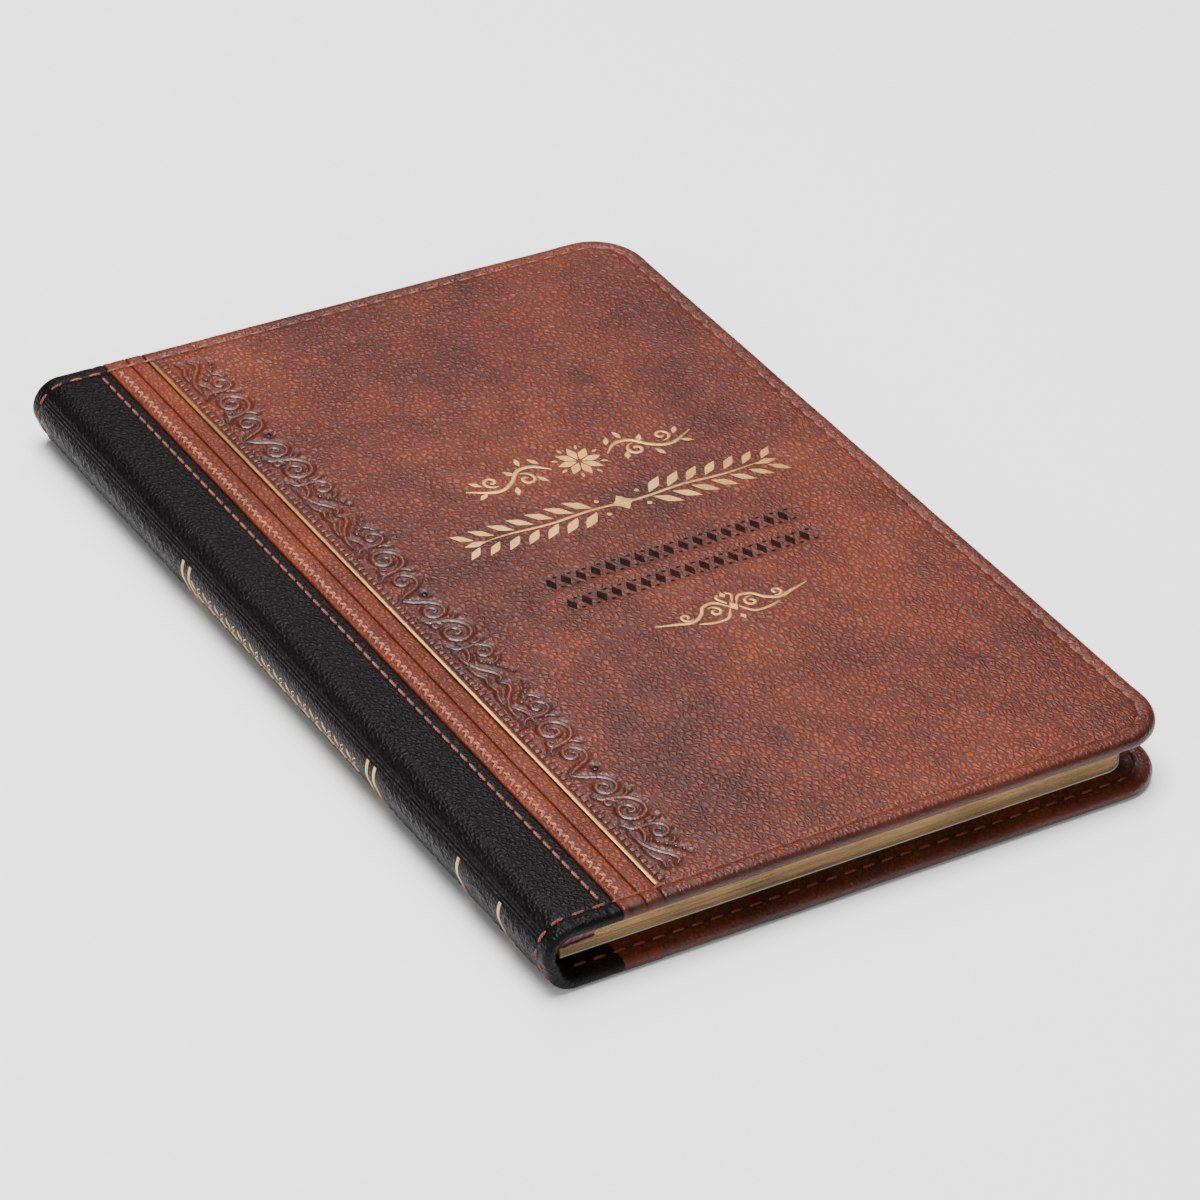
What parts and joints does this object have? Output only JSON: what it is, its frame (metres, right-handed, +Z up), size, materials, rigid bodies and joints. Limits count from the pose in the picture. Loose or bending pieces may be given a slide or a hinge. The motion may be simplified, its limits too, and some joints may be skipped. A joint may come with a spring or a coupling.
{
  "type": "prayer book",
  "caption": "Closed prayer book in a padded quarter-bound leather case with straps, stitched edges, rounded hollow spine, gilt leaves and a ribbon marker; opens flat.",
  "frame": {"origin": "centre of the closed book's footprint, on the surface it lies on", "axes": "+X from the spine to the fore edge, +Y from tail to head, +Z up through the front cover"},
  "size_m": [0.1256, 0.178, 0.013],
  "materials": {
    "brown_leather": "glossy grained leather, reddish brown",
    "tan_leather": "smooth leather, tan brown",
    "dark_leather": "satin grained leather, very dark aubergine brown",
    "thread": "twisted copper-coloured thread",
    "card": "grey-brown book board",
    "foam": "soft cream foam",
    "paper": "uncoated cream paper",
    "gilt_leaves": "cream leaves with bronze-gold edges",
    "ribbon": "burgundy satin ribbon"
  },
  "bodies": {
    "back_cover": {"back_dark_leather": "dark_leather", "back_stitched_strap": "tan_leather", "back_plain_strap": "tan_leather", "back_main_leather": "brown_leather", "back_foam_pad": "foam", "back_board": "card", "back_endpaper": "paper", "back_edge_seam": "thread", "back_dark_stitching": "thread", "back_strap_stitching": "thread", "back_flyleaf": "paper", "leaves_1": "gilt_leaves"},
    "spine": {"spine_leather": "dark_leather", "spine_liner": "card", "front_shoulder_leather": "dark_leather", "back_shoulder_leather": "dark_leather", "spine_seam_head": "thread", "spine_seam_tail": "thread"},
    "front_cover": {"front_dark_leather": "dark_leather", "front_stitched_strap": "tan_leather", "front_plain_strap": "tan_leather", "front_main_leather": "brown_leather", "front_foam_pad": "foam", "front_board": "card", "front_endpaper": "paper", "front_edge_seam": "thread", "front_dark_stitching": "thread", "front_strap_stitching": "thread", "front_flyleaf": "paper", "leaves_8": "gilt_leaves", "ribbon_marker": "ribbon"},
    "section_2": {"leaves_2": "gilt_leaves"},
    "section_3": {"leaves_3": "gilt_leaves"},
    "section_4": {"leaves_4": "gilt_leaves"},
    "section_5": {"leaves_5": "gilt_leaves"},
    "section_6": {"leaves_6": "gilt_leaves"},
    "section_7": {"leaves_7": "gilt_leaves"}
  },
  "joints": [
    {"name": "spine_fold", "type": "hinge", "parent": "back_cover", "child": "spine", "pos_m": [-0.05876, 0, 0.0016], "axis": [0, -1, 0], "range_deg": [0, 65.22], "deforming": ["back_shoulder_leather"]},
    {"name": "front_cover_fold", "type": "hinge", "parent": "spine", "child": "front_cover", "pos_m": [-0.06171, 0, 0.0104], "axis": [0, -1, 0], "range_deg": [0, 114.78], "deforming": ["front_shoulder_leather", "spine_seam_head", "spine_seam_tail"]},
    {"name": "section_2_slide", "type": "slide", "parent": "back_cover", "child": "section_2", "axis": [-1, 0, 0], "range_m": [0, 0.00155]},
    {"name": "section_3_slide", "type": "slide", "parent": "section_2", "child": "section_3", "axis": [-1, 0, 0], "range_m": [0, 0.00155]},
    {"name": "section_4_slide", "type": "slide", "parent": "section_3", "child": "section_4", "axis": [-1, 0, 0], "range_m": [0, 0.00155]},
    {"name": "section_7_slide", "type": "slide", "parent": "front_cover", "child": "section_7", "axis": [-1, 0, 0], "range_m": [0, 0.0033]},
    {"name": "section_6_slide", "type": "slide", "parent": "section_7", "child": "section_6", "axis": [-1, 0, 0], "range_m": [0, 0.0033]},
    {"name": "section_5_slide", "type": "slide", "parent": "section_6", "child": "section_5", "axis": [-1, 0, 0], "range_m": [0, 0.0033]}
  ],
  "couplings": [
    {"joint": "spine_fold", "follows": "section_2_slide", "rad_per_m": 734.39},
    {"joint": "section_3_slide", "follows": "section_2_slide", "ratio": 1},
    {"joint": "section_4_slide", "follows": "section_2_slide", "ratio": 1},
    {"joint": "front_cover_fold", "follows": "section_7_slide", "rad_per_m": 606.98},
    {"joint": "section_6_slide", "follows": "section_7_slide", "ratio": 1},
    {"joint": "section_5_slide", "follows": "section_7_slide", "ratio": 1}
  ]
}
